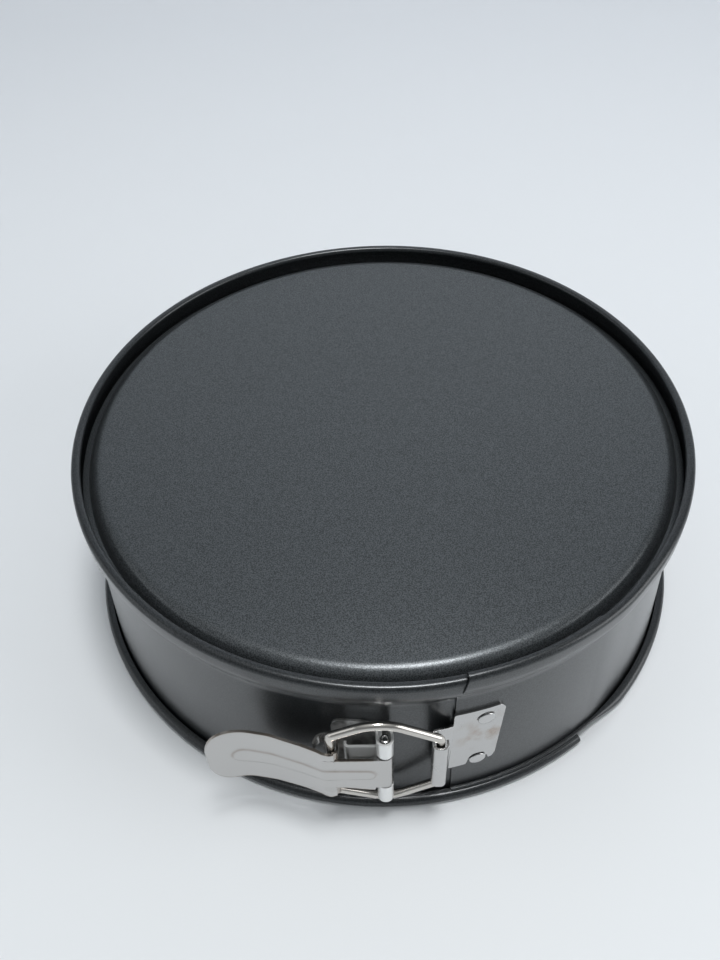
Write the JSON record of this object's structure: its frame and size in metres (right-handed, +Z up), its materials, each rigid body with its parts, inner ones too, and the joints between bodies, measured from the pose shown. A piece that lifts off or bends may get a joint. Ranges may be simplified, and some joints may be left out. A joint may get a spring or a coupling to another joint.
{
  "type": "springform cake pan",
  "caption": "Round springform cake pan with a separate base plate, a sprung band that opens, and an over-centre wire latch on its side.",
  "frame": {"origin": "on the ring's axis, at the height of the open rolled rim that the pan stands on", "axes": "+Z up, out of the base plate's underside; -Y through the latch's hinge pin; +X towards the strike plate"},
  "size_m": [0.2432, 0.2465, 0.0803],
  "materials": {
    "coated_steel": "dark grey non-stick coating with a fine metallic fleck, satin",
    "latch_steel": "bright plated, lightly tarnished",
    "wire": "bright plated"
  },
  "bodies": {
    "left_end": {"band_left_end": "coated_steel", "hinge_bracket": "latch_steel", "bracket_rivets": "latch_steel", "hinge_pin": "latch_steel"},
    "left_back": {"band_left_back": "coated_steel"},
    "right_back": {"band_right_back": "coated_steel"},
    "right_end": {"band_right_end": "coated_steel", "strike_plate": "latch_steel", "strike_rivets": "latch_steel"},
    "lever": {"lever": "latch_steel"},
    "bail": {"wire_bail": "wire"},
    "base": {"base_plate": "coated_steel"}
  },
  "joints": [
    {"name": "lever_swing", "type": "hinge", "parent": "left_end", "child": "lever", "pos_m": [-0.0005, -0.1221, 0.0362], "axis": [0, 0, 1], "range_deg": [0, 120]},
    {"name": "flex_left", "type": "hinge", "parent": "left_end", "child": "left_back", "pos_m": [-0.11942, -0.02343, 0.04], "axis": [0, 0, 1], "range_deg": [0, 2.18]},
    {"name": "flex_back", "type": "hinge", "parent": "left_back", "child": "right_back", "pos_m": [-0.02343, 0.11942, 0.04], "axis": [0, 0, 1], "range_deg": [0, 2.18]},
    {"name": "flex_right", "type": "hinge", "parent": "right_back", "child": "right_end", "pos_m": [0.11942, 0.02343, 0.04], "axis": [0, 0, 1], "range_deg": [0, 2.18]},
    {"name": "bail_swing", "type": "hinge", "parent": "right_end", "child": "bail", "pos_m": [0.0174, -0.1212, 0.0362], "axis": [0, 0, 1], "range_deg": [0, 26.5]},
    {"name": "base_release", "type": "slide", "parent": "left_end", "child": "base", "axis": [0.1037, 0.2928, 0.9505], "range_m": [0, 0.01063]}
  ],
  "couplings": [
    {"joint": "flex_left", "follows": "lever_swing", "ratio": 0.0182},
    {"joint": "flex_back", "follows": "lever_swing", "ratio": 0.0182},
    {"joint": "flex_right", "follows": "lever_swing", "ratio": 0.0182},
    {"joint": "bail_swing", "follows": "lever_swing", "ratio": 0.2208},
    {"joint": "base_release", "follows": "lever_swing", "m_per_rad": 0.005073}
  ]
}
